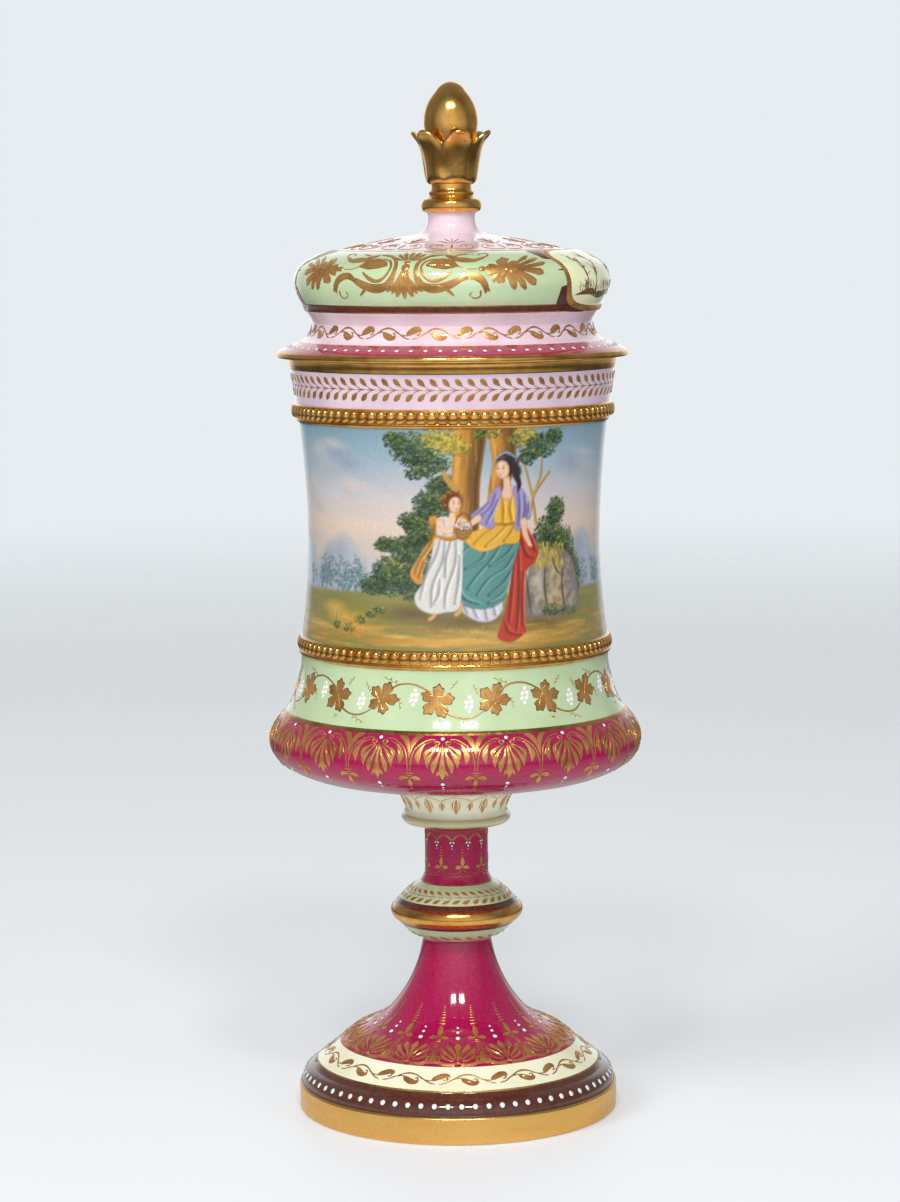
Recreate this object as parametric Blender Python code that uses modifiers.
"""Lidded, footed porcelain cup.

Three castings stand on each other: a pedestal with a trumpet foot and a knop, a hollow bowl with
two beaded rings, and a hollow lid with a bud finial in a calyx of leaves. Units are metres, +Z is
up, and the origin is the middle of the standing ring on the table.
"""

import math

import bmesh
import bpy
from mathutils import Vector

# How finely the solids are made
PEDESTAL_SIDES = 24
CUP_SIDES = 32
LID_SIDES = 24
MERGE_DISTANCE = 0.00001
SHARP_ANGLE = math.radians(40)

# Clearances between the castings
SEAT_GAP = 0.0003
SPIGOT_CLEARANCE = 0.0010

# Pedestal, from the table up
BASE_RADIUS = 0.0562
BASE_BAND_HEIGHT = 0.0095
BASE_EDGE = 0.0005
OVOLO_RADIUS = 0.0512
OVOLO_HEIGHT = 0.0057
OVOLO_SWELL = 0.0013
LEDGE_RADIUS = 0.0498
LEDGE_HEIGHT = 0.0022
SKIRT_RADIUS = 0.0419
SKIRT_SHELF_HEIGHT = 0.0062
SKIRT_HEIGHT = 0.0043
SKIRT_TOP_RADIUS = 0.0359
TRUMPET_FOOT_HEIGHT = 0.0063
TRUMPET_FOOT_RADIUS = 0.0246
TRUMPET_FOOT_HOLLOW = 0.0006
TRUMPET_HEIGHT = 0.0264
TRUMPET_HOLLOW = 0.0023
NECK_RADIUS = 0.0120
KNOP_UNDERSIDE_HEIGHT = 0.0072
KNOP_UNDERSIDE_SWELL = 0.0007
KNOP_BAND_RADIUS = 0.0212
KNOP_BAND_HEIGHT = 0.0058
KNOP_SWELL = 0.0025
KNOP_CROWN_HEIGHT = 0.0076
KNOP_CROWN_RADIUS = 0.0124
KNOP_CROWN_SWELL = 0.0006
STEM_FILLET_HEIGHT = 0.0026
STEM_RADIUS = 0.0111
STEM_HEIGHT = 0.0164
COLLAR_UNDERSIDE_HEIGHT = 0.0021
COLLAR_RADIUS = 0.0184
COLLAR_BAND_HEIGHT = 0.0030
COLLAR_SWELL = 0.0008
COLLAR_WAIST_RADIUS = 0.0183
COLLAR_WAIST_HEIGHT = 0.0033
COLLAR_HOLLOW = 0.0005
SEAT_RADIUS = 0.0233
SEAT_FLARE_HEIGHT = 0.0058
SEAT_FLARE_HOLLOW = 0.0009
PEDESTAL_WALL = 0.0048
FOOT_RING_WIDTH = 0.0052
FOOT_HOLLOW_HEIGHT = 0.0520
FOOT_HOLLOW_RADIUS = 0.0060
FOOT_HOLLOW_POWER = 2.1

# Bowl, from its seat up
SOLE_RADIUS = 0.0236
UNDERSIDE_RADIUS = 0.0485
UNDERSIDE_HEIGHT = 0.0045
BULGE_TURN_RADIUS = 0.0620
BULGE_TURN_HEIGHT = 0.0057
BULGE_TURN_SWELL = 0.0008
BULGE_RADIUS = 0.06545
BULGE_RISE = 0.0090
BULGE_SWELL = 0.0012
SHOULDER_RADIUS = 0.0603
SHOULDER_HEIGHT = 0.0078
SHOULDER_SWELL = 0.0006
LEDGER_RADIUS = 0.0592
LEDGER_HEIGHT = 0.0012
FLARE_HEIGHT = 0.0176
FLARE_HOLLOW = 0.0013
LOWER_RING_SEAT_RADIUS = 0.0536
LOWER_RING_HEIGHT = 0.0086
LOWER_RING_RADIUS = 0.0557
PANEL_FOOT_RADIUS = 0.0533
PANEL_WAIST_RADIUS = 0.0510
PANEL_TOP_RADIUS = 0.0537
PANEL_LOWER_HEIGHT = 0.0348
PANEL_UPPER_HEIGHT = 0.0396
PANEL_LOWER_HOLLOW = 0.0006
PANEL_UPPER_HOLLOW = 0.0004
UPPER_RING_HEIGHT = 0.0086
UPPER_RING_RADIUS = 0.0570
FRIEZE_FOOT_RADIUS = 0.0548
FRIEZE_HEIGHT = 0.0104
RIM_FOOT_RADIUS = 0.0567
RIM_RADIUS = 0.0571
RIM_HEIGHT = 0.0030
CUP_WALL = 0.0042
CUP_FLOOR = 0.0046
INNER_BULGE_SWELL = 0.0030
BEAD_COUNT = 96
BEAD_VALLEY = 0.0009
BEAD_DEPTH = 0.0036

# Lid, from the mouth of the bowl up
FLANGE_RADIUS = 0.0612
FLANGE_HEIGHT = 0.0022
FLANGE_EDGE = 0.0008
SLOPE_RADIUS = 0.0529
SLOPE_HEIGHT = 0.0032
CAVETTO_RADIUS = 0.0487
CAVETTO_LOWER_HEIGHT = 0.0064
CAVETTO_LOWER_HOLLOW = 0.0012
CAVETTO_UPPER_RADIUS = 0.0511
CAVETTO_UPPER_HEIGHT = 0.0041
BAND_RADIUS = 0.0518
BAND_HEIGHT = 0.0025
TORUS_RADIUS = 0.0546
TORUS_LOWER_HEIGHT = 0.0071
TORUS_LOWER_SWELL = 0.0005
SHOULDER_OF_LID_RADIUS = 0.0490
TORUS_UPPER_HEIGHT = 0.0081
TORUS_UPPER_SWELL = 0.0016
CROWN_RADIUS = 0.0392
CROWN_RISE = 0.0030
CROWN_SWELL = 0.0006
DOME_RADIUS = 0.0130
DOME_HEIGHT = 0.0050
FINIAL_NECK_RADIUS = 0.0082
FINIAL_NECK_HEIGHT = 0.0053
FINIAL_NECK_HOLLOW = 0.0014
FINIAL_COLLAR_RADIUS = 0.0104
FINIAL_COLLAR_LOWER = 0.0060
FINIAL_COLLAR_UPPER = 0.0032
FINIAL_COLLAR_SWELL = 0.0005
FINIAL_WAIST_RADIUS = 0.0074
FINIAL_WAIST_HEIGHT = 0.0019
BUD_FOOT_RADIUS = 0.0094
BUD_FOOT_HEIGHT = 0.0213
BUD_SHOULDER_RADIUS = 0.0052
BUD_SHOULDER_HEIGHT = 0.0115
BUD_SWELL = 0.0013
BUD_TIP_HEIGHT = 0.0034
BUD_TIP_SWELL = 0.0008
LID_WALL = 0.0042
SPIGOT_DEPTH = 0.0060
SPIGOT_WALL = 0.0036

# Calyx of leaves around the bud, measured from the top of the finial's waist
LEAF_COUNT = 6
LEAF_TURN = math.radians(14 - 90)
LEAF_COLUMNS = 6
LEAF_ROWS = 4
LEAF_TIP_RADIUS = 0.0149
LEAF_TIP_HEIGHT = 0.0196
LEAF_CLEFT_RADIUS = 0.0108
LEAF_CLEFT_HEIGHT = 0.0150
LEAF_BODY_RADIUS = 0.0106
LEAF_THICKNESS = 0.0011


class Outline:
    """One side of a turned shape, drawn from the bottom up."""

    def __init__(self, radius, height):
        self.points = [(radius, height)]

    @property
    def top(self):
        """Return the height of the last point."""
        return self.points[-1][1]

    def rise(self, height, radius, swell=0.0, steps=1):
        """Go up by height to radius, on an arc that swells outwards (hollow when negative)."""
        x0, z0 = self.points[-1]
        chord = Vector((radius - x0, height))
        outward = Vector((chord.y, -chord.x)).normalized()
        for step in range(1, steps + 1):
            share = step / steps
            bow = 4.0 * swell * share * (1.0 - share)
            x = x0 + chord.x * share + outward.x * bow
            z = z0 + chord.y * share + outward.y * bow
            self.points.append((x, z))
        return self

    def trumpet(self, height, radius, power, steps):
        """Go up by height while the radius falls off along a power curve."""
        x0, z0 = self.points[-1]
        for step in range(1, steps + 1):
            share = step / steps
            x = radius + (x0 - radius) * (1.0 - share) ** power
            self.points.append((x, z0 + height * share))
        return self


def make_collection(name):
    """Return a new collection linked to the scene."""
    collection = bpy.data.collections.new(name)
    bpy.context.scene.collection.children.link(collection)
    return collection


def make_material(name, color, roughness, metallic=0.0):
    """Return a Principled material."""
    material = bpy.data.materials.new(name)
    material.use_nodes = True
    shader = material.node_tree.nodes["Principled BSDF"]
    shader.inputs["Base Color"].default_value = (*color, 1.0)
    shader.inputs["Roughness"].default_value = roughness
    shader.inputs["Metallic"].default_value = metallic
    return material


def turned(name, profile, sides, material, collection):
    """Turn a profile that starts and ends on the axis and runs down its outer side."""
    mesh = bpy.data.meshes.new(name)
    form = bmesh.new()
    verts = [form.verts.new((x, 0.0, z)) for x, z in profile]
    for first, second in zip(verts[:-1], verts[1:]):
        form.edges.new((first, second))
    form.to_mesh(mesh)
    form.free()
    mesh.materials.append(material)
    obj = bpy.data.objects.new(name, mesh)
    collection.objects.link(obj)
    screw = obj.modifiers.new("turn", "SCREW")
    screw.axis = "Z"
    screw.steps = sides
    screw.render_steps = sides
    screw.use_merge_vertices = True
    screw.merge_threshold = MERGE_DISTANCE
    screw.use_smooth_shade = True
    return obj


def fuse(obj, operand):
    """Join an operand to an object with a Boolean union and hide the operand."""
    operand.hide_render = True
    operand.display_type = "WIRE"
    union = obj.modifiers.new(operand.name, "BOOLEAN")
    union.operation = "UNION"
    union.solver = "EXACT"
    union.object = operand


def pedestal_outline():
    """Return the outer side of the pedestal from the standing ring to the bowl's seat."""
    line = Outline(BASE_RADIUS - BASE_EDGE, 0.0)
    line.rise(BASE_EDGE, BASE_RADIUS)
    line.rise(BASE_BAND_HEIGHT - 2 * BASE_EDGE, BASE_RADIUS)
    line.rise(BASE_EDGE, BASE_RADIUS - BASE_EDGE)
    line.rise(OVOLO_HEIGHT, OVOLO_RADIUS, OVOLO_SWELL, 2)
    line.rise(LEDGE_HEIGHT, LEDGE_RADIUS)
    line.rise(SKIRT_SHELF_HEIGHT, SKIRT_RADIUS)
    line.rise(SKIRT_HEIGHT, SKIRT_TOP_RADIUS)
    line.rise(TRUMPET_FOOT_HEIGHT, TRUMPET_FOOT_RADIUS, -TRUMPET_FOOT_HOLLOW, 2)
    line.rise(TRUMPET_HEIGHT, NECK_RADIUS, -TRUMPET_HOLLOW, 3)
    line.rise(KNOP_UNDERSIDE_HEIGHT, KNOP_BAND_RADIUS, KNOP_UNDERSIDE_SWELL, 2)
    line.rise(KNOP_BAND_HEIGHT, KNOP_BAND_RADIUS, KNOP_SWELL, 4)
    line.rise(KNOP_CROWN_HEIGHT, KNOP_CROWN_RADIUS, KNOP_CROWN_SWELL, 2)
    line.rise(STEM_FILLET_HEIGHT, STEM_RADIUS)
    line.rise(STEM_HEIGHT, STEM_RADIUS)
    line.rise(COLLAR_UNDERSIDE_HEIGHT, COLLAR_RADIUS)
    line.rise(COLLAR_BAND_HEIGHT, COLLAR_RADIUS, COLLAR_SWELL, 2)
    line.rise(COLLAR_WAIST_HEIGHT, COLLAR_WAIST_RADIUS, -COLLAR_HOLLOW, 2)
    line.rise(SEAT_FLARE_HEIGHT, SEAT_RADIUS, -SEAT_FLARE_HOLLOW, 2)
    return line


def foot_hollow():
    """Return the hollow under the trumpet foot, from its closed top down to the table."""
    ring_radius = BASE_RADIUS - BASE_EDGE - FOOT_RING_WIDTH
    shelf = BASE_BAND_HEIGHT + OVOLO_HEIGHT + LEDGE_HEIGHT + SKIRT_SHELF_HEIGHT
    line = Outline(ring_radius, 0.0)
    line.rise(BASE_BAND_HEIGHT, ring_radius)
    line.rise(shelf - PEDESTAL_WALL - BASE_BAND_HEIGHT, SKIRT_RADIUS - PEDESTAL_WALL)
    line.trumpet(FOOT_HOLLOW_HEIGHT - line.top, FOOT_HOLLOW_RADIUS, FOOT_HOLLOW_POWER, 3)
    return line


def make_pedestal(collection):
    """Build the pedestal as one casting and return it with the height of its seat."""
    outer = pedestal_outline()
    profile = [(0.0, outer.top)]
    profile += reversed(outer.points)
    profile += foot_hollow().points
    profile.append((0.0, FOOT_HOLLOW_HEIGHT))
    glaze = make_material("magenta_glaze", (0.42, 0.01, 0.12), 0.12)
    turned("pedestal", profile, PEDESTAL_SIDES, glaze, collection)
    return outer.top


def bead_ring(name, foot, height, crest_radius, collection):
    """Build a closed ring of upright beads from height foot, for joining to the bowl."""
    mesh = bpy.data.meshes.new(name)
    form = bmesh.new()
    root = crest_radius - BEAD_DEPTH
    section = [
        (root, foot),
        (crest_radius, foot + height / 2),
        (root, foot + height),
    ]
    verts = [form.verts.new((x, 0.0, z)) for x, z in section]
    edges = [form.edges.new((verts[i - 1], verts[i])) for i in range(len(verts))]
    bmesh.ops.spin(
        form,
        geom=verts + edges,
        cent=(0.0, 0.0, 0.0),
        axis=(0.0, 0.0, 1.0),
        angle=math.tau,
        steps=2 * BEAD_COUNT,
        use_merge=True,
    )
    for vert in form.verts:
        column = round(math.atan2(vert.co.y, vert.co.x) / math.tau * 2 * BEAD_COUNT)
        radius = math.hypot(vert.co.x, vert.co.y)
        if column % 2 and radius > (root + crest_radius) / 2:
            vert.co.xy *= (radius - BEAD_VALLEY) / radius
    bmesh.ops.recalc_face_normals(form, faces=form.faces)
    form.to_mesh(mesh)
    form.free()
    obj = bpy.data.objects.new(name, mesh)
    collection.objects.link(obj)
    return obj


def cup_outline(seat):
    """Return the outer side of the bowl and the heights of its two beaded rings."""
    line = Outline(SOLE_RADIUS, seat + SEAT_GAP)
    line.rise(UNDERSIDE_HEIGHT, UNDERSIDE_RADIUS)
    line.rise(BULGE_TURN_HEIGHT, BULGE_TURN_RADIUS, BULGE_TURN_SWELL, 2)
    line.rise(BULGE_RISE, BULGE_RADIUS, BULGE_SWELL, 3)
    line.rise(SHOULDER_HEIGHT, SHOULDER_RADIUS, SHOULDER_SWELL, 2)
    line.rise(LEDGER_HEIGHT, LEDGER_RADIUS)
    line.rise(FLARE_HEIGHT, LOWER_RING_SEAT_RADIUS, -FLARE_HOLLOW, 3)
    lower_ring = line.top
    line.rise(LOWER_RING_HEIGHT, PANEL_FOOT_RADIUS)
    line.rise(PANEL_LOWER_HEIGHT, PANEL_WAIST_RADIUS, -PANEL_LOWER_HOLLOW, 2)
    line.rise(PANEL_UPPER_HEIGHT, PANEL_TOP_RADIUS, -PANEL_UPPER_HOLLOW, 2)
    upper_ring = line.top
    line.rise(UPPER_RING_HEIGHT, FRIEZE_FOOT_RADIUS)
    line.rise(FRIEZE_HEIGHT, RIM_FOOT_RADIUS)
    line.rise(RIM_HEIGHT, RIM_RADIUS)
    return line, lower_ring, upper_ring


def cup_hollow(seat, lower_ring, rim):
    """Return the inside of the bowl, a wall's thickness inside its outer forms."""
    line = Outline(UNDERSIDE_RADIUS - CUP_WALL, seat + SEAT_GAP + CUP_FLOOR + UNDERSIDE_HEIGHT / 2)
    bulge = seat + SEAT_GAP + UNDERSIDE_HEIGHT + BULGE_TURN_HEIGHT + BULGE_RISE
    line.rise(bulge - line.top, BULGE_RADIUS - CUP_WALL, INNER_BULGE_SWELL, 2)
    line.rise(SHOULDER_HEIGHT, SHOULDER_RADIUS - CUP_WALL)
    line.rise(lower_ring - line.top, LOWER_RING_SEAT_RADIUS - CUP_WALL, -FLARE_HOLLOW, 2)
    line.rise(LOWER_RING_HEIGHT, PANEL_FOOT_RADIUS - CUP_WALL)
    line.rise(PANEL_LOWER_HEIGHT, PANEL_WAIST_RADIUS - CUP_WALL)
    line.rise(PANEL_UPPER_HEIGHT, PANEL_TOP_RADIUS - CUP_WALL)
    mouth = RIM_RADIUS - CUP_WALL
    line.rise(rim - SPIGOT_DEPTH - SPIGOT_CLEARANCE - line.top, mouth)
    line.rise(rim - line.top, mouth)
    return line


def make_cup(seat, collection, operands):
    """Build the bowl on its seat, fuse its beaded rings and return the height of its rim."""
    outer, lower_ring, upper_ring = cup_outline(seat)
    inner = cup_hollow(seat, lower_ring, outer.top)
    profile = [(0.0, seat + SEAT_GAP + CUP_FLOOR)]
    profile += inner.points
    profile += reversed(outer.points)
    profile.append((0.0, seat + SEAT_GAP))
    glaze = make_material("painted_porcelain", (0.62, 0.72, 0.66), 0.12)
    cup = turned("cup", profile, CUP_SIDES, glaze, collection)
    rings = (
        ("lower_beads", lower_ring, LOWER_RING_HEIGHT, LOWER_RING_RADIUS),
        ("upper_beads", upper_ring, UPPER_RING_HEIGHT, UPPER_RING_RADIUS),
    )
    for name, foot, height, crest_radius in rings:
        fuse(cup, bead_ring(name, foot, height, crest_radius, operands))
    return outer.top


def lid_outline(rim):
    """Return the lid's outer side from its flange to the bud's tip, and the waist's height."""
    line = Outline(FLANGE_RADIUS - FLANGE_EDGE / 2, rim + SEAT_GAP)
    line.rise(FLANGE_EDGE, FLANGE_RADIUS)
    line.rise(FLANGE_HEIGHT - FLANGE_EDGE, FLANGE_RADIUS - FLANGE_EDGE)
    line.rise(SLOPE_HEIGHT, SLOPE_RADIUS)
    line.rise(CAVETTO_LOWER_HEIGHT, CAVETTO_RADIUS, -CAVETTO_LOWER_HOLLOW, 2)
    line.rise(CAVETTO_UPPER_HEIGHT, CAVETTO_UPPER_RADIUS)
    line.rise(BAND_HEIGHT, BAND_RADIUS)
    line.rise(TORUS_LOWER_HEIGHT, TORUS_RADIUS, TORUS_LOWER_SWELL, 2)
    line.rise(TORUS_UPPER_HEIGHT, SHOULDER_OF_LID_RADIUS, TORUS_UPPER_SWELL, 3)
    line.rise(CROWN_RISE, CROWN_RADIUS, CROWN_SWELL, 2)
    line.rise(DOME_HEIGHT, DOME_RADIUS)
    line.rise(FINIAL_NECK_HEIGHT, FINIAL_NECK_RADIUS, -FINIAL_NECK_HOLLOW, 2)
    line.rise(FINIAL_COLLAR_LOWER, FINIAL_COLLAR_RADIUS)
    line.rise(FINIAL_COLLAR_UPPER, FINIAL_WAIST_RADIUS, FINIAL_COLLAR_SWELL, 2)
    line.rise(FINIAL_WAIST_HEIGHT, FINIAL_WAIST_RADIUS)
    waist = line.top
    line.rise(BUD_FOOT_HEIGHT, BUD_FOOT_RADIUS)
    line.rise(BUD_SHOULDER_HEIGHT, BUD_SHOULDER_RADIUS, BUD_SWELL, 3)
    line.rise(BUD_TIP_HEIGHT, 0.0, BUD_TIP_SWELL, 2)
    return line, waist


def lid_hollow(rim):
    """Return the lid's inside from the foot of its spigot to the top of its hollow."""
    mouth = RIM_RADIUS - CUP_WALL
    spigot = mouth - SPIGOT_CLEARANCE
    flange = rim + SEAT_GAP
    cavetto = flange + FLANGE_HEIGHT + SLOPE_HEIGHT + CAVETTO_LOWER_HEIGHT
    torus = cavetto + CAVETTO_UPPER_HEIGHT + BAND_HEIGHT + TORUS_LOWER_HEIGHT
    line = Outline(spigot, flange - SPIGOT_DEPTH)
    inner = Outline(spigot - SPIGOT_WALL, flange - SPIGOT_DEPTH)
    inner.rise(SPIGOT_DEPTH, spigot - SPIGOT_WALL)
    inner.rise(cavetto - flange, CAVETTO_RADIUS - LID_WALL)
    inner.rise(torus - cavetto, TORUS_RADIUS - LID_WALL)
    inner.rise(TORUS_UPPER_HEIGHT - LID_WALL / 2, SHOULDER_OF_LID_RADIUS - LID_WALL, TORUS_UPPER_SWELL)
    inner.rise(CROWN_RISE - LID_WALL / 2, CROWN_RADIUS - LID_WALL)
    inner.rise(DOME_HEIGHT, DOME_RADIUS - LID_WALL)
    return [(spigot, flange)] + line.points + inner.points


def calyx(waist, collection):
    """Build the ring of out-turned leaves as one closed loft, for joining to the finial."""
    mesh = bpy.data.meshes.new("calyx")
    form = bmesh.new()
    columns = LEAF_COUNT * LEAF_COLUMNS
    loops = []
    for row in range(LEAF_ROWS * 2):
        outer = row < LEAF_ROWS
        share = row / (LEAF_ROWS - 1) if outer else (2 * LEAF_ROWS - 1 - row) / (LEAF_ROWS - 1)
        loop = []
        for column in range(columns):
            turn = column / columns * math.tau
            lobe = (0.5 + 0.5 * math.cos(turn * LEAF_COUNT)) ** 0.6
            edge_radius = LEAF_CLEFT_RADIUS + (LEAF_TIP_RADIUS - LEAF_CLEFT_RADIUS) * lobe
            edge_height = LEAF_CLEFT_HEIGHT + (LEAF_TIP_HEIGHT - LEAF_CLEFT_HEIGHT) * lobe
            body = FINIAL_WAIST_RADIUS + (LEAF_BODY_RADIUS - FINIAL_WAIST_RADIUS) * share ** 0.8
            radius = body + (edge_radius - LEAF_BODY_RADIUS) * share ** 4
            height = waist + edge_height * share
            if not outer:
                radius -= LEAF_THICKNESS * (1.5 - 0.5 * share)
                height -= LEAF_THICKNESS * 0.2
            angle = turn + LEAF_TURN
            place = (radius * math.cos(angle), radius * math.sin(angle), height)
            loop.append(form.verts.new(place))
        loops.append(loop)
    for first, second in zip(loops, loops[1:] + loops[:1]):
        for column in range(columns):
            following = (column + 1) % columns
            form.faces.new((first[column], first[following], second[following], second[column]))
    bmesh.ops.recalc_face_normals(form, faces=form.faces)
    form.to_mesh(mesh)
    form.free()
    obj = bpy.data.objects.new("calyx", mesh)
    collection.objects.link(obj)
    return obj


def make_lid(rim, collection, operands):
    """Build the hollow lid with its finial and fuse the calyx to it."""
    outer, waist = lid_outline(rim)
    hollow = lid_hollow(rim)
    profile = list(reversed(outer.points))
    profile += hollow
    profile.append((0.0, hollow[-1][1]))
    glaze = make_material("gilt_and_green_glaze", (0.58, 0.70, 0.52), 0.12)
    lid = turned("lid", profile, LID_SIDES, glaze, collection)
    fuse(lid, calyx(waist, operands))


def shade(collection):
    """Give every part smooth shading with sharp edges kept."""
    for obj in collection.objects:
        obj.data.shade_smooth()
        obj.data.set_sharp_from_angle(angle=SHARP_ANGLE)


def main():
    """Clear the scene and build the three castings, each on top of the one before."""
    for obj in list(bpy.data.objects):
        bpy.data.objects.remove(obj, do_unlink=True)
    parts = make_collection("footed_porcelain_cup")
    operands = make_collection("joined_shapes")
    seat = make_pedestal(parts)
    rim = make_cup(seat, parts, operands)
    make_lid(rim, parts, operands)
    shade(parts)


main()
